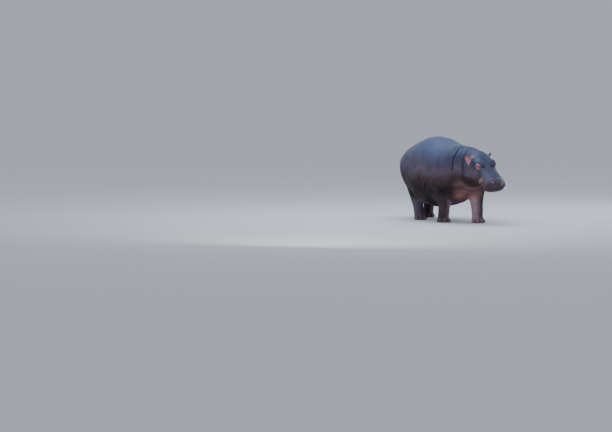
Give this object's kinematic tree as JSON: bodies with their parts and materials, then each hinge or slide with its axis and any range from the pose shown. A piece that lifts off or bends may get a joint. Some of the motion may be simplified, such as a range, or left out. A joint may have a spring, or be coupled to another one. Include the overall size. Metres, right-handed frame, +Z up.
{
  "type": "hippopotamus",
  "caption": "Still, life-size young hippopotamus standing in mid-stride with its head raised and its mouth shut.",
  "frame": {"origin": "middle of the animal's outline, on the floor between its feet", "axes": "+Y runs from the nose to the tail, so the animal faces -Y; +X is its left side; +Z is up"},
  "size_m": [0.8606, 2.5218, 1.2107],
  "materials": {
    "hide": "wet slate-grey hide, warmer and pinker below",
    "ear_skin": "soft pinkish skin of the ears",
    "eye": "wet dark brown eye",
    "nail": "dull dark toenail"
  },
  "bodies": {
    "root": {"trunk": "hide", "neck": "hide", "head": "hide", "lower_jaw": "hide", "tail": "hide", "leg_fore_left": "hide", "foot_fore_left": "hide", "nail_fore_left_1": "nail", "nail_fore_left_2": "nail", "nail_fore_left_3": "nail", "nail_fore_left_4": "nail", "leg_fore_right": "hide", "foot_fore_right": "hide", "nail_fore_right_1": "nail", "nail_fore_right_2": "nail", "nail_fore_right_3": "nail", "nail_fore_right_4": "nail", "leg_hind_left": "hide", "foot_hind_left": "hide", "nail_hind_left_1": "nail", "nail_hind_left_2": "nail", "nail_hind_left_3": "nail", "nail_hind_left_4": "nail", "leg_hind_right": "hide", "foot_hind_right": "hide", "nail_hind_right_1": "nail", "nail_hind_right_2": "nail", "nail_hind_right_3": "nail", "nail_hind_right_4": "nail", "ear_left": "ear_skin", "eye_left": "eye", "ear_right": "ear_skin", "eye_right": "eye"}
  },
  "joints": []
}
